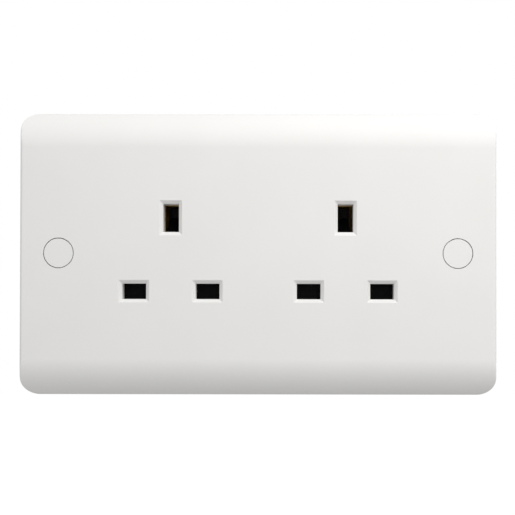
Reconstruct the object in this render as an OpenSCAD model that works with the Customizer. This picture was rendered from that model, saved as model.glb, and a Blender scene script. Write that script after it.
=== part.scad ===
// Unswitched double wall socket for three-pin plugs, as it sits on the wall.
// X runs along the plate, Z is up and Y runs into the wall.
// The origin is the middle of the plate, on the wall's surface.

/* [Front plate] */
// Width of the plate
plate_w = 146; // [140:1:160]
// Height of the plate
plate_h = 86; // [80:1:100]
// How far the plate stands off the wall
plate_t = 9; // [8:0.5:12]
// Thickness of the plate's front wall
plate_wall = 2.6; // [2:0.1:3]
// Thickness of the plate's rim
rim_wall = 2.4; // [1.6:0.1:3]
// Radius of the plate's corners
corner_r = 5.5; // [4:0.5:7]
// How far the plate's sides lean in from the wall to the front
side_lean = 1.1; // [0.4:0.1:1.6]
// Radius of the edge along the two short sides
side_r = 1; // [0.5:0.1:1.5]
// How far the soft curve runs in from the top and bottom edges
curve_span = 11; // [6:0.5:11]
// How far that curve falls back from the front
curve_drop = 6.2; // [4:0.1:6.5]

/* [Outlets] */
// Distance between the middles of the two outlets
outlet_pitch = 52.8; // [52:0.2:54]
// Distance between the line and neutral pins
pin_pitch = 22.2; // [21.8:0.1:22.6]
// Distance from the earth pin down to the other two
earth_rise = 22.2; // [21.8:0.1:22.6]
// Height of the earth aperture's middle above the fixing screws
earth_z = 10.7; // [10:0.1:11.5]
// Width of the line and neutral apertures
pin_slot_w = 7.2; // [6.8:0.1:7.6]
// Height of the line and neutral apertures
pin_slot_h = 4.7; // [4.4:0.1:5]
// Width of the earth aperture
earth_slot_w = 4.75; // [4.5:0.05:5]
// Height of the earth aperture
earth_slot_h = 8.5; // [8.3:0.1:9]
// Width of the bevel round each aperture
slot_bevel = 1; // [0.4:0.1:1.2]
// Wall of the collar behind each aperture
collar_wall = 1.5; // [1:0.1:1.8]
// How far the collars reach behind the front wall
collar_depth = 3.4; // [3:0.1:3.6]

/* [Fixing screws] */
// Distance between the two fixing screws
fixing_pitch = 120.6; // [120:0.1:121]
// Diameter of the screw's thread
fixing_d = 3.5; // [3:0.1:4]
// Length of the thread behind the wall line
fixing_reach = 24; // [18:1:40]
// Diameter of the screw's countersunk head
fixing_head_d = 6.6; // [6:0.1:7]
// Diameter of the recess for the screw cap
cap_recess_d = 9; // [8.6:0.1:9.6]
// Ring gap between the cap and its recess
cap_gap = 0.3; // [0.2:0.05:0.4]
// Thickness of the cap's face, which is the recess's depth
cap_t = 1.8; // [1.2:0.1:2]
// Diameter of the boss round each fixing screw
boss_d = 12.4; // [11.4:0.2:12.8]

/* [Rear housing] */
// Width of the rear housing
housing_w = 107; // [106:0.5:107]
// Width of its lower part, between the terminal bays
housing_low_w = 87; // [86:0.5:90]
// How far the housing reaches above the fixing screws
housing_top = 26; // [25.5:0.1:28]
// How far the housing reaches below the fixing screws
housing_bottom = 29; // [28:0.1:30]
// How far the housing reaches behind the wall line
housing_depth = 16.5; // [16:0.1:20]
// Thickness of the housing's side walls
housing_wall = 1.8; // [1.4:0.1:2]
// Thickness of the housing's floor
floor_t = 2; // [1.6:0.1:2.4]
// Thickness of the ribs inside
rib_t = 1.4; // [1:0.1:1.6]
// Radius of the housing's corners
housing_r = 2.5; // [1:0.5:4]
// Bevel round the housing's back
back_bevel = 1.2; // [0.5:0.1:1.6]

/* [Shutters] */
// Thickness of the shutter
shutter_t = 2.5; // [2:0.1:2.6]
// Travel of the shutter
shutter_travel = 5.4; // [5.2:0.1:5.8]
// How far the blade overlaps an aperture all round
blade_lap = 0.4; // [0.3:0.05:0.6]
// Width of the shutter's stem
stem_w = 6.4; // [5:0.2:7]
// Width of the tongue behind the earth aperture
tongue_w = 2.9; // [2.4:0.1:3.2]
// How far the tongue reaches above the earth aperture's middle
tongue_rise = 0.8; // [0.6:0.1:1.2]
// How far the tongue's slope reaches behind the blade
tongue_back = 2.7; // [2:0.1:3]
// Gap between the shutter and what it slides on
slide_gap = 0.3; // [0.2:0.05:0.4]
// Outer diameter of the shutter spring
spring_d = 4; // [3.4:0.1:4.4]
// Diameter of the spring's wire
spring_wire = 0.45; // [0.3:0.05:0.5]
// Number of turns in the spring
spring_turns = 8; // [5:1:9]

/* [Contacts] */
// Thickness of the brass strip
strip_t = 0.8; // [0.6:0.1:1]
// Width of the strip between the contacts
bar_h = 4; // [3.5:0.5:4]
// Width of the line and neutral contacts
contact_w = 5.5; // [4.5:0.5:6.5]
// Opening of a contact at its mouth
mouth_gap = 5.2; // [5:0.1:5.4]
// Opening of a contact where it grips the pin
grip_gap = 3.3; // [3:0.1:3.6]
// Opening of a contact at its root
root_gap = 4.6; // [4.2:0.1:5]
// Gap between a bar and the contacts of the other pole
pole_gap = 3.5; // [3:0.1:3.6]

/* [Terminals] */
// Width of a terminal block
block_w = 8; // [7.5:0.5:8]
// Height of a terminal block
block_h = 9; // [8:0.5:9]
// Depth of a terminal block
block_d = 8.5; // [8:0.1:8.6]
// Diameter of the wire hole
wire_d = 4; // [3.6:0.1:4.2]
// Diameter of the terminal screw's thread
clamp_d = 3.5; // [3:0.1:3.6]
// Diameter of the terminal screw's head
clamp_head_d = 5.6; // [5:0.1:6]
// Distance between the line and neutral terminals
terminal_pitch = 95; // [95:0.2:95.6]
// Distance between the two earth terminals
earth_terminal_pitch = 16; // [15:0.5:18]

/* [Assembly screws] */
// Diameter of the screws that join the housing to the plate
joining_d = 3; // [2.6:0.1:3.2]
// Diameter of their heads
joining_head_d = 5.4; // [5:0.1:5.6]
// Length of these screws under the head
joining_l = 17; // [14:0.5:18]

/* [Hidden] */
$fn = 48;

// Extra length of a cut past the face that it opens
cut = 1;
// How far a rib or boss sinks into the wall that it stands on
sink = 0.5;
// Overlap of two solids of one piece that meet end to end
join = 0.1;
// Gap round a piece that lies in its slot or seat
fit_gap = 0.2;
// Gap between two pieces that touch in life
hair_gap = 0.05;
// Extra diameter of a hole that a screw passes through
hole_play = 0.4;
// Extra diameter of a hole that takes a screw's head
head_play = 0.6;
// Width and depth of a screwdriver slot
slot_w = 1;
slot_deep = 1.1;

// Depths, from the front face at the left to the housing's back
face_y = -plate_t;
inner_y = face_y + plate_wall;
collar_y = inner_y + collar_depth;
blade_y0 = collar_y + slide_gap;
blade_y1 = blade_y0 + shutter_t;
rib_y = blade_y1 + slide_gap;
floor_y = housing_depth - floor_t;
bar_lift = 2.2;
bar_y1 = floor_y - bar_lift;
bar_y0 = bar_y1 - strip_t;

// The curve along the top and bottom edges is one arc, level with the front
curve_r = (pow(curve_span, 2) + pow(curve_drop, 2)) / (2 * curve_drop);
flat_half = plate_h / 2 - curve_span;
curve_y = face_y + curve_r;
// How far the outline's short sides stand outside the leaning sides
side_clear = 0.2;

// Places of the outlets and their pins
pin_z = earth_z - earth_rise;
LEFT = -1;
RIGHT = 1;
function outlet_x(side) = side * outlet_pitch / 2;
function pin_x(outlet, pin) = outlet_x(outlet) + pin * pin_pitch / 2;

// A fixing screw's head sits below its cap, in a bore with a countersunk seat
head_y = face_y + cap_t + 1.9;
head_bore_d = fixing_head_d + 2 * head_play;
fixing_hole_d = fixing_d + 0.7;
neck_d = fixing_d - 0.6;
end_bevel = 0.6;
skirt_wall = 1;
skirt_slot_w = 1.2;

// The shutter's blade covers the lower two apertures
blade_half = (pin_pitch + pin_slot_w) / 2 + blade_lap;
blade_top = pin_z + pin_slot_h / 2 + blade_lap;
blade_bottom = pin_z - pin_slot_h / 2 - blade_lap;
tongue_top = earth_z + tongue_rise;
tongue_foot = earth_z - earth_slot_h / 2 - blade_lap;
tongue_root = 4;
tongue_nose = 2.5;
spring_seat = -housing_bottom + housing_wall;
spring_y = (blade_y0 + blade_y1) / 2;
spring_r = (spring_d - spring_wire) / 2;
spring_low = spring_seat + spring_wire / 2;
spring_high = blade_bottom - spring_wire / 2;
spring_ring = 6;
spring_per_turn = 14;
spring_rings = spring_turns * spring_per_turn;
end_turns = 0.07;
peg_gap = 0.25;
peg_d = spring_d - 2 * spring_wire - 2 * peg_gap;
peg_l = 2;
rail_t = 1.5;
rail_over = 3;

// Contacts reach from just behind the shutter to the bars
mouth_back = 0.9;
mouth_y = rib_y + mouth_back;
grip_share = 0.43;
grip_y = mouth_y + grip_share * (bar_y0 - mouth_y);
leaf_t = 0.6;
leaf_steps = 8;
contact_half = root_gap / 2 + leaf_t;
line_bar_z = pin_z + contact_half + pole_gap;
neutral_bar_z = pin_z - contact_half - pole_gap - bar_h;
earth_pin_h = 8;
earth_top = earth_z + earth_pin_h / 2 + 0.4;
earth_contact_h = 8.6;
bridge_back = 1.2;
strap_h = bar_h + 1;
strap_end = 4;
strip_in = 0.5;

// Terminals
block_y0 = bar_y0 - block_d;
wire_y = block_y0 + block_d / 2;
block_gap = 0.3;
block_lift = 0.8;
low_block_z = neutral_bar_z + bar_h / 2 - block_h / 2 + block_lift;
bay_bottom = low_block_z - block_gap;
high_block_z = housing_top - block_gap - block_h;
clamp_back = 1.3;
clamp_tip_y = wire_y + wire_d / 2 + fit_gap;
clamp_head_y = bar_y1 + clamp_back;
clamp_head_t = 2.4;
access_d = clamp_head_d + head_play;
access_wall = 0.8;
post_half = 2.5;
terminal_x = terminal_pitch / 2;
earth_terminal_x = earth_terminal_pitch / 2;
low_clamp_z = low_block_z + block_h / 2;
high_clamp_z = high_block_z + block_h / 2;

// Assembly screws: two between the outlets and one at each end
joining_head_t = 2.1;
joining_head_y = floor_y - sink;
joining_upper_z = 8;
joining_end_z = 10;
point_d = 0.8;
point_l = 1;
head_bevel = 0.5;
cross_l = 3.2;
cross_w = 0.7;
cross_deep = 1.2;
pillar_y = 2;
pillar_wall = 1.7;
pillar_d = joining_d + 2 * pillar_wall;
tube_wall = 1.9;
tube_d = joining_d + 2 * tube_wall;
joining_places = [
    [0, joining_upper_z],
    [0, pin_z],
    [-terminal_x, joining_end_z],
    [terminal_x, joining_end_z]
];

// Ribs either side of each contact
inner_rib = 5.6;
outer_rib = blade_half + rib_t / 2;
cross_rib_z = line_bar_z + bar_h + rib_t;
pad_half = 2;
pad_in = 1;

// A drawing in X and Z, cut out between two depths
module depth(y0, y1) {
    translate([0, y1, 0])
        rotate([90, 0, 0])
            linear_extrude(height = y1 - y0)
                children();
}

// A drawing in Y and Z, run along the plate
module along(x0, x1) {
    translate([x0, 0, 0])
        rotate([90, 0, 90])
            linear_extrude(height = x1 - x0)
                children();
}

// A drawing in X and Y, run upwards
module upright(z0, z1) {
    translate([0, 0, z0])
        linear_extrude(height = z1 - z0)
            children();
}

// A round bar into the wall
module rod(x, z, d, y0, y1) {
    translate([x, y0, z])
        rotate([-90, 0, 0])
            cylinder(d = d, h = y1 - y0);
}

// A cone into the wall
module cone(x, z, d0, d1, y0, y1) {
    translate([x, y0, z])
        rotate([-90, 0, 0])
            cylinder(d1 = d0, d2 = d1, h = y1 - y0);
}

// A block between two corners
module block(low, high) {
    translate(low)
        cube(high - low);
}

// A rectangle with round corners, from its lower left to its upper right corner
module soft_rect(low, high, r) {
    size = high - low;
    translate([low[0] + r, low[1]])
        square([size[0] - 2 * r, size[1]]);
    translate([low[0], low[1] + r])
        square([size[0], size[1] - 2 * r]);
    for (x = [low[0] + r, high[0] - r])
        for (z = [low[1] + r, high[1] - r])
            translate([x, z])
                circle(r = r);
}

// The plate's section from top to bottom, or its hollow's at a wall's depth.
// Its arcs run on past the edges, and the drawing that it meets ends them.
module curved_section(wall) {
    reach = plate_t - wall;
    translate([face_y + wall, -flat_half])
        square([reach, 2 * flat_half]);
    for (side = [-1, 1])
        intersection() {
            translate([curve_y, side * flat_half])
                circle(r = curve_r - wall, $fn = 96);
            translate([-reach, side > 0 ? flat_half - sink : -flat_half - curve_r])
                square([reach, curve_r + sink]);
        }
}

// The plate's section from side to side: its sides lean in from the wall, and
// a round joins each to the flat front
module side_section() {
    angle = atan2(side_lean, plate_t);
    end_y = face_y + side_r * (1 - sin(angle));
    end_x = plate_w / 2 + side_lean * end_y / plate_t;
    round_x = end_x - side_r * cos(angle);
    foot_x = plate_w / 2 + side_lean * cut / plate_t;
    polygon([
        [-round_x, face_y],
        [round_x, face_y],
        [round_x, face_y + side_r],
        [end_x, end_y],
        [foot_x, cut],
        [-foot_x, cut],
        [-end_x, end_y],
        [-round_x, face_y + side_r]
    ]);
    for (side = [-1, 1])
        translate([side * round_x, face_y + side_r])
            circle(r = side_r);
}

// The plate's outer form is where three drawings meet. The leaning sides cut
// the outline's own, which stand a little further out.
module plate_form() {
    half_w = plate_w / 2 + side_clear;
    half_h = plate_h / 2;
    intersection() {
        depth(face_y, 0)
            soft_rect([-half_w, -half_h], [half_w, half_h], corner_r);
        along(-half_w - cut, half_w + cut)
            curved_section(0);
        upright(-half_h - cut, half_h + cut)
            side_section();
    }
}

// The hollow behind the front wall, open towards the wall
module plate_hollow() {
    half_w = plate_w / 2 - rim_wall;
    half_h = plate_h / 2 - rim_wall;
    intersection() {
        depth(inner_y, cut)
            soft_rect([-half_w, -half_h], [half_w, half_h], corner_r - rim_wall);
        union() {
            along(-half_w - cut, half_w + cut)
                curved_section(plate_wall);
            block([-half_w, -cut, -half_h], [half_w, cut, half_h]);
        }
    }
}

// The hole of one aperture with its bevelled mouth
module aperture(x, z, w, h) {
    block([x - w / 2, face_y - cut, z - h / 2], [x + w / 2, collar_y + cut, z + h / 2]);
    intersection() {
        translate([x, 0, 0])
            upright(z - h, z + h)
                bevel_section(w / 2);
        translate([0, 0, z])
            along(x - w, x + w)
                rotate(90)
                    mirror([0, 1])
                        bevel_section(h / 2);
    }
}

// Half-width and depth of the bevel, as a section across the aperture
module bevel_section(half) {
    out = half + slot_bevel;
    polygon([
        [-out - cut, face_y - cut],
        [out + cut, face_y - cut],
        [half, face_y + slot_bevel],
        [-half, face_y + slot_bevel]
    ]);
}

// The collar that leads a pin from an aperture to the shutter
module collar(x, z, w, h) {
    out_w = w / 2 + collar_wall;
    out_h = h / 2 + collar_wall;
    block([x - out_w, inner_y - cut, z - out_h], [x + out_w, collar_y, z + out_h]);
}

// The three apertures of one outlet, or what surrounds them
module each_aperture(outlet) {
    for (pin = [-1, 1])
        let ($x = pin_x(outlet, pin), $z = pin_z, $w = pin_slot_w, $h = pin_slot_h)
            children();
    let ($x = outlet_x(outlet), $z = earth_z, $w = earth_slot_w, $h = earth_slot_h)
        children();
}

// Rails beside the blade and a channel for the spring
module shutter_guides(outlet) {
    for (side = [-1, 1]) {
        rail = outlet_x(outlet) + side * (blade_half + slide_gap + rail_t / 2);
        block(
            [rail - rail_t / 2, inner_y - cut, blade_bottom - shutter_travel],
            [rail + rail_t / 2, blade_y1 - fit_gap, blade_top + rail_over]
        );
        wall = outlet_x(outlet) + side * (spring_d / 2 + slide_gap + rib_t / 2);
        block(
            [wall - rib_t / 2, inner_y - cut, spring_seat + fit_gap],
            [wall + rib_t / 2, blade_y1 - fit_gap, blade_bottom - shutter_travel - 2 * slide_gap]
        );
    }
}

// Where a post on the plate holds a terminal block against its bar
module terminal_post(x, z) {
    block(
        [x - post_half, inner_y - cut, z - post_half],
        [x + post_half, block_y0 - hair_gap, z + post_half]
    );
}

module front_plate() {
    color([0.93, 0.925, 0.91])
        difference() {
            union() {
                difference() {
                    plate_form();
                    plate_hollow();
                }
                for (side = [-1, 1]) {
                    rod(side * fixing_pitch / 2, 0, boss_d, inner_y - cut, 0);
                    each_aperture(side)
                        collar($x, $z, $w, $h);
                    shutter_guides(side);
                    terminal_post(side * terminal_x, low_clamp_z);
                    terminal_post(side * earth_terminal_x, high_clamp_z);
                }
                for (place = joining_places)
                    rod(place[0], place[1], pillar_d, inner_y - cut, pillar_y);
            }
            for (side = [-1, 1]) {
                each_aperture(side)
                    aperture($x, $z, $w, $h);
                fixing_hole(side * fixing_pitch / 2);
            }
            for (place = joining_places)
                rod(
                    place[0],
                    place[1],
                    joining_d + 2 * hair_gap,
                    joining_head_y - joining_l - point_l,
                    pillar_y + cut
                );
        }
}

// Recess for the cap, bore and countersink for the head, hole for the screw
module fixing_hole(x) {
    seat_d = fixing_head_d + 2 * hair_gap;
    rod(x, 0, cap_recess_d, face_y - cut, face_y + cap_t);
    rod(x, 0, head_bore_d, face_y, head_y);
    cone(x, 0, seat_d, fixing_hole_d, head_y, head_y + (seat_d - fixing_hole_d) / 2);
    rod(x, 0, fixing_hole_d, head_y, cut);
}

// A push-in cap: a flush disc with a skirt that grips the head's bore
module screw_cap(side) {
    x = side * fixing_pitch / 2;
    skirt_d = head_bore_d - 2 * hair_gap;
    back_y = face_y + cap_t;
    color([0.93, 0.925, 0.91])
        difference() {
            union() {
                rod(x, 0, cap_recess_d - 2 * cap_gap, face_y, back_y);
                rod(x, 0, skirt_d, back_y - join, head_y - 2 * fit_gap);
            }
            rod(x, 0, skirt_d - 2 * skirt_wall, back_y - fit_gap, head_y);
            block([x - skirt_slot_w / 2, back_y, -skirt_d], [x + skirt_slot_w / 2, head_y, skirt_d]);
        }
}

// A countersunk machine screw with a plain neck and a slot
module fixing_screw(side) {
    x = side * fixing_pitch / 2;
    head_t = (fixing_head_d - neck_d) / 2;
    color([0.75, 0.75, 0.73])
        difference() {
            union() {
                cone(x, 0, fixing_head_d, neck_d, head_y, head_y + head_t);
                rod(x, 0, neck_d, head_y + head_t / 2, join);
                rod(x, 0, fixing_d, 0, fixing_reach - end_bevel);
                cone(
                    x,
                    0,
                    fixing_d,
                    fixing_d - 2 * end_bevel,
                    fixing_reach - end_bevel,
                    fixing_reach
                );
            }
            block(
                [x - slot_w / 2, head_y - cut, -fixing_head_d],
                [x + slot_w / 2, head_y + slot_deep, fixing_head_d]
            );
        }
}

// The sprung shutter: a blade over the lower apertures, a stem, and a
// round-topped tongue whose slope the earth pin pushes down
module shutter(side) {
    x = outlet_x(side);
    color([0.05, 0.05, 0.05]) {
        block([x - blade_half, blade_y0, blade_bottom], [x + blade_half, blade_y1, blade_top]);
        block(
            [x - stem_w / 2, blade_y0, blade_top - cut],
            [x + stem_w / 2, blade_y1, tongue_foot - blade_lap]
        );
        intersection() {
            depth(blade_y0 - cut, blade_y1 + tongue_back + cut) {
                translate([x - tongue_w / 2, tongue_foot - tongue_root - cut])
                    square([tongue_w, tongue_top - tongue_w / 2 - tongue_foot + tongue_root + cut]);
                translate([x, tongue_top - tongue_w / 2])
                    circle(d = tongue_w);
            }
            along(x - tongue_w, x + tongue_w)
                polygon([
                    [blade_y0, tongue_foot - tongue_root],
                    [blade_y0, tongue_foot],
                    [blade_y1 + tongue_back, tongue_top],
                    [blade_y1 + tongue_back, tongue_top - tongue_nose],
                    [blade_y1, tongue_foot - tongue_root]
                ]);
        }
        translate([x, spring_y, blade_bottom - peg_l])
            cylinder(d = peg_d, h = peg_l + sink);
    }
}

// The end turns lie nearly flat, so the height follows a soft step
function soft_step(u) = u - end_turns * sin(360 * u);
function spring_z(u) = spring_low + (spring_high - spring_low) * soft_step(u);
// A point round the wire of the coil
function spring_point(i, j) =
    let (
        u = i / spring_rings,
        turn = 360 * spring_turns * u,
        round = 360 * j / spring_ring,
        r = spring_r + spring_wire / 2 * cos(round)
    )
    [r * cos(turn), r * sin(turn), spring_z(u) + spring_wire / 2 * sin(round)];

module shutter_spring(side) {
    points = [
        for (i = [0:spring_rings])
            for (j = [0:spring_ring - 1])
                spring_point(i, j)
    ];
    walls = [
        for (i = [0:spring_rings - 1])
            for (j = [0:spring_ring - 1])
                let (
                    a = i * spring_ring + j,
                    b = i * spring_ring + (j + 1) % spring_ring
                )
                [a, a + spring_ring, b + spring_ring, b]
    ];
    start = [for (j = [0:spring_ring - 1]) j];
    end = [for (j = [spring_ring - 1:-1:0]) spring_rings * spring_ring + j];
    color([0.7, 0.7, 0.7])
        translate([outlet_x(side), spring_y, 0])
            polyhedron(points = points, faces = concat(walls, [start, end]));
}

// Half the opening of a contact at a depth: wide mouth, narrow grip
function ease(a, b, u) = a + (b - a) * (1 - cos(180 * u)) / 2;
function half_gap(y) =
    (y < grip_y
        ? ease(mouth_gap, grip_gap, (y - mouth_y) / (grip_y - mouth_y))
        : ease(grip_gap, root_gap, (y - grip_y) / (bar_y0 - grip_y))) / 2;

// One spring leaf, drawn in depth and height
module leaf_section(end_y) {
    steps = [for (i = [0:leaf_steps]) mouth_y + (end_y - mouth_y) * i / leaf_steps];
    inside = [for (y = steps) [y, half_gap(y)]];
    outside = [for (i = [leaf_steps:-1:0]) [steps[i], half_gap(steps[i]) + leaf_t]];
    polygon(concat(inside, outside));
}

// A contact that grips a flat pin above and below
module pin_contact(x) {
    for (side = [-1, 1])
        translate([0, 0, pin_z])
            mirror([0, 0, side < 0 ? 1 : 0])
                along(x - contact_w / 2, x + contact_w / 2)
                    leaf_section(bar_y0 + join);
}

// The flat of a bar or strap, at the depth of all the bars
module strip(low, high) {
    block([low[0], bar_y0, low[1]], [high[0], bar_y1, high[1]]);
}

// The end of a strip under a terminal block, with the screw's hole
module clamp_hole(x, z) {
    rod(x, z, clamp_d + hole_play, bar_y0 - cut, bar_y1 + cut);
}

module line_bar() {
    low = pin_x(LEFT, 1) - contact_w / 2;
    high = terminal_x + block_w / 2;
    color([0.78, 0.62, 0.3])
        difference() {
            union() {
                strip([low, line_bar_z], [high, line_bar_z + bar_h]);
                for (outlet = [LEFT, RIGHT]) {
                    x = pin_x(outlet, 1);
                    pin_contact(x);
                    strip(
                        [x - contact_w / 2, pin_z - contact_half],
                        [x + contact_w / 2, line_bar_z + cut]
                    );
                }
                strip(
                    [terminal_x - block_w / 2, low_block_z + strip_in],
                    [high, line_bar_z + cut]
                );
            }
            clamp_hole(terminal_x, low_clamp_z);
        }
}

module neutral_bar() {
    low = -terminal_x - block_w / 2;
    high = pin_x(RIGHT, -1) + contact_w / 2;
    color([0.78, 0.62, 0.3])
        difference() {
            union() {
                strip([low, neutral_bar_z], [high, neutral_bar_z + bar_h]);
                for (outlet = [LEFT, RIGHT]) {
                    x = pin_x(outlet, -1);
                    pin_contact(x);
                    strip(
                        [x - contact_w / 2, neutral_bar_z],
                        [x + contact_w / 2, pin_z + contact_half]
                    );
                }
                strip(
                    [low, low_block_z + strip_in],
                    [low + block_w, low_block_z + block_h - strip_in]
                );
            }
            clamp_hole(-terminal_x, low_clamp_z);
        }
}

// A folded clip that grips the earth pin left and right
module earth_contact(outlet) {
    x = outlet_x(outlet);
    wide = grip_gap / 2 + leaf_t + strip_t;
    for (side = [-1, 1])
        translate([x, 0, 0])
            mirror([side < 0 ? 1 : 0, 0, 0])
                upright(earth_top - earth_contact_h, earth_top + strip_t)
                    mirror([1, 0])
                        rotate(90)
                            leaf_section(bar_y0 - strip_t / 2);
    block(
        [x - wide, mouth_y + bridge_back, earth_top],
        [x + wide, bar_y1, earth_top + strip_t]
    );
}

module earth_strap() {
    reach = outlet_x(RIGHT) + strap_end;
    color([0.78, 0.62, 0.3])
        difference() {
            union() {
                strip([-reach, earth_top], [reach, earth_top + strap_h]);
                for (side = [-1, 1]) {
                    earth_contact(side);
                    strip(
                        [side * earth_terminal_x - block_w / 2, earth_top],
                        [side * earth_terminal_x + block_w / 2, high_block_z + block_h - strip_in]
                    );
                }
            }
            for (side = [-1, 1])
                clamp_hole(side * earth_terminal_x, high_clamp_z);
        }
}

// A brass block with a hole for the wire and a threaded one for its screw
module terminal(x, z) {
    color([0.8, 0.66, 0.36])
        difference() {
            block([x - block_w / 2, block_y0, z], [x + block_w / 2, bar_y0, z + block_h]);
            translate([x, wire_y, z - cut])
                cylinder(d = wire_d, h = block_h + 2 * cut);
            rod(x, z + block_h / 2, clamp_d + 2 * hair_gap, wire_y, bar_y0 + cut);
        }
}

// A cheese-head screw, backed out so that a wire can go in
module clamp_screw(x, z) {
    head_end = clamp_head_y + clamp_head_t;
    color([0.75, 0.75, 0.73])
        difference() {
            union() {
                rod(x, z, clamp_d, clamp_tip_y, clamp_head_y + join);
                rod(x, z, clamp_head_d, clamp_head_y, head_end);
            }
            block(
                [x - clamp_head_d, head_end - slot_deep, z - slot_w / 2],
                [x + clamp_head_d, head_end + cut, z + slot_w / 2]
            );
        }
}

// The outline of the housing, or of its inside at a wall's distance
module housing_outline(wall) {
    r = max(housing_r - wall, 0.3);
    for (part = [[housing_w / 2, bay_bottom], [housing_low_w / 2, -housing_bottom]])
        soft_rect(
            [-part[0] + wall, part[1] + wall],
            [part[0] - wall, housing_top - wall],
            r
        );
}

// A long section with its two back edges bevelled
module bevelled_section(low, high) {
    polygon([
        [low, inner_y],
        [high, inner_y],
        [high, housing_depth - back_bevel],
        [high - back_bevel, housing_depth],
        [low + back_bevel, housing_depth],
        [low, housing_depth - back_bevel]
    ]);
}

module housing_form() {
    intersection() {
        depth(inner_y, housing_depth)
            housing_outline(0);
        upright(-housing_bottom - cut, housing_top + cut)
            bevelled_section(-housing_w / 2, housing_w / 2);
        along(-housing_w, housing_w)
            rotate(90)
                mirror([0, 1])
                    bevelled_section(-housing_bottom, housing_top);
    }
}

// Ribs that part the contacts and carry the shutters from behind
module housing_ribs(outlet) {
    x = outlet_x(outlet);
    for (side = [-1, 1]) {
        near = x + side * inner_rib;
        far = x + side * outer_rib;
        block(
            [near - rib_t / 2, rib_y, spring_seat - sink],
            [near + rib_t / 2, floor_y + sink, earth_top + strap_h]
        );
        block(
            [far - rib_t / 2, rib_y, spring_seat - sink],
            [far + rib_t / 2, floor_y + sink, cross_rib_z]
        );
        block(
            [min(near, far), rib_y, cross_rib_z - rib_t],
            [max(near, far), floor_y + sink, cross_rib_z]
        );
    }
}

// Pads on the floor under each contact, so that the bars lie level
module floor_pads(outlet) {
    for (pin = [-1, 1])
        block(
            [pin_x(outlet, pin) - pad_half, bar_y1 + hair_gap, pin_z - pad_half],
            [pin_x(outlet, pin) + pad_half, floor_y + sink, pin_z + pad_half]
        );
    block(
        [outlet_x(outlet) - pad_half, bar_y1 + hair_gap, earth_top + pad_in],
        [outlet_x(outlet) + pad_half, floor_y + sink, earth_top + strap_h - pad_in]
    );
}

// The slot that a strip drops into from the front
module strip_slot(low, high) {
    block(
        [low[0] - fit_gap, rib_y - cut, low[1] - fit_gap],
        [high[0] + fit_gap, bar_y1 + hair_gap, high[1] + fit_gap]
    );
}

// The mouth in a wall through which a wire reaches its terminal
module wire_mouth(x, z0, z1) {
    block(
        [x - block_w / 2 - fit_gap, block_y0 - fit_gap, z0],
        [x + block_w / 2 + fit_gap, bar_y1 + fit_gap, z1]
    );
}

// All four clamp screws, with their places
module each_clamp() {
    for (side = [-1, 1]) {
        let ($x = side * terminal_x, $z = low_clamp_z)
            children();
        let ($x = side * earth_terminal_x, $z = high_clamp_z)
            children();
    }
}

module rear_housing() {
    mouth_t = housing_wall + fit_gap;
    color([0.09, 0.09, 0.09])
        difference() {
            union() {
                difference() {
                    housing_form();
                    depth(inner_y - cut, floor_y)
                        housing_outline(housing_wall);
                }
                intersection() {
                    depth(rib_y, floor_y + sink)
                        housing_outline(housing_wall / 2);
                    union()
                        for (side = [-1, 1]) {
                            housing_ribs(side);
                            floor_pads(side);
                        }
                }
                for (side = [-1, 1])
                    translate([outlet_x(side), spring_y, spring_seat - sink])
                        cylinder(d = peg_d, h = peg_l + sink);
                for (place = joining_places)
                    rod(place[0], place[1], tube_d, pillar_y + hair_gap, floor_y + sink);
                each_clamp()
                    rod($x, $z, access_d + 2 * access_wall, bar_y1 + hair_gap, floor_y + sink);
            }
            strip_slot(
                [pin_x(LEFT, 1) - contact_w / 2, line_bar_z],
                [terminal_x + block_w / 2, line_bar_z + bar_h]
            );
            strip_slot(
                [-terminal_x - block_w / 2, neutral_bar_z],
                [pin_x(RIGHT, -1) + contact_w / 2, neutral_bar_z + bar_h]
            );
            strip_slot(
                [-outlet_x(RIGHT) - strap_end, earth_top],
                [outlet_x(RIGHT) + strap_end, earth_top + strap_h]
            );
            for (side = [-1, 1]) {
                wire_mouth(side * terminal_x, bay_bottom - cut, bay_bottom + mouth_t);
                wire_mouth(side * earth_terminal_x, housing_top - mouth_t, housing_top + cut);
            }
            each_clamp()
                rod($x, $z, access_d, bar_y0, housing_depth + cut);
            for (place = joining_places) {
                rod(place[0], place[1], joining_d + hole_play, pillar_y, housing_depth);
                rod(place[0], place[1], joining_head_d + head_play, joining_head_y, housing_depth + cut);
            }
        }
}

// A pan-head screw from the back of the housing into the plate's pillar
module assembly_screw(place) {
    x = place[0];
    z = place[1];
    head_end = joining_head_y + joining_head_t;
    tip_y = joining_head_y - joining_l;
    color([0.75, 0.75, 0.73])
        difference() {
            union() {
                cone(x, z, point_d, joining_d, tip_y, tip_y + point_l);
                rod(x, z, joining_d, tip_y + point_l, joining_head_y + join);
                rod(x, z, joining_head_d, joining_head_y, head_end - head_bevel);
                cone(
                    x,
                    z,
                    joining_head_d,
                    joining_head_d - 2 * head_bevel,
                    head_end - head_bevel,
                    head_end
                );
            }
            for (turn = [0, 90])
                translate([x, head_end, z])
                    rotate([0, turn, 0])
                        cube([cross_l, 2 * cross_deep, cross_w], center = true);
        }
}

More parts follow.
